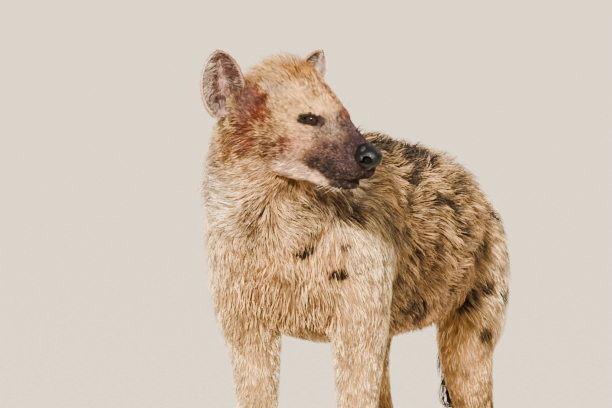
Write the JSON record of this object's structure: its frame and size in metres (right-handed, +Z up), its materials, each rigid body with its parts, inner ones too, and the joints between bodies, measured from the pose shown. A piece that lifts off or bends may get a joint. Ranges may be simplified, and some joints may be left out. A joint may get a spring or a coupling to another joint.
{
  "type": "spotted hyena",
  "caption": "Still life-size model of a spotted hyena standing on four feet, with its head turned to its left and its ears up.",
  "frame": {"origin": "middle of the whole model's bounding box, at the level of the floor under its soles", "axes": "+X towards the chest, along the trunk; +Y to the animal's left; +Z up"},
  "size_m": [1.2244, 0.4332, 0.958],
  "materials": {
    "coat": "long rough fur, tan with dark spots",
    "dark_coat": "short dark fur",
    "ear": "thin skin with fine hair",
    "nose": "moist black skin",
    "eye": "wet and glossy",
    "claw": "dull horn"
  },
  "bodies": {
    "root": {"torso": "coat", "neck": "coat", "head": "coat", "nose": "nose", "ear_left": "ear", "ear_right": "ear", "eye_left": "eye", "eye_right": "eye", "foreleg_left": "coat", "foreleg_right": "coat", "forearm_left": "coat", "forearm_right": "coat", "thigh_left": "coat", "thigh_right": "coat", "shank_left": "coat", "shank_right": "coat", "paw_fore_left": "dark_coat", "paw_fore_right": "dark_coat", "paw_hind_left": "dark_coat", "paw_hind_right": "dark_coat", "tail_root": "coat", "tail_brush": "dark_coat", "claw_fore_left_1": "claw", "claw_fore_left_2": "claw", "claw_fore_left_3": "claw", "claw_fore_left_4": "claw", "claw_fore_right_1": "claw", "claw_fore_right_2": "claw", "claw_fore_right_3": "claw", "claw_fore_right_4": "claw", "claw_hind_left_1": "claw", "claw_hind_left_2": "claw", "claw_hind_left_3": "claw", "claw_hind_left_4": "claw", "claw_hind_right_1": "claw", "claw_hind_right_2": "claw", "claw_hind_right_3": "claw", "claw_hind_right_4": "claw"}
  },
  "joints": []
}
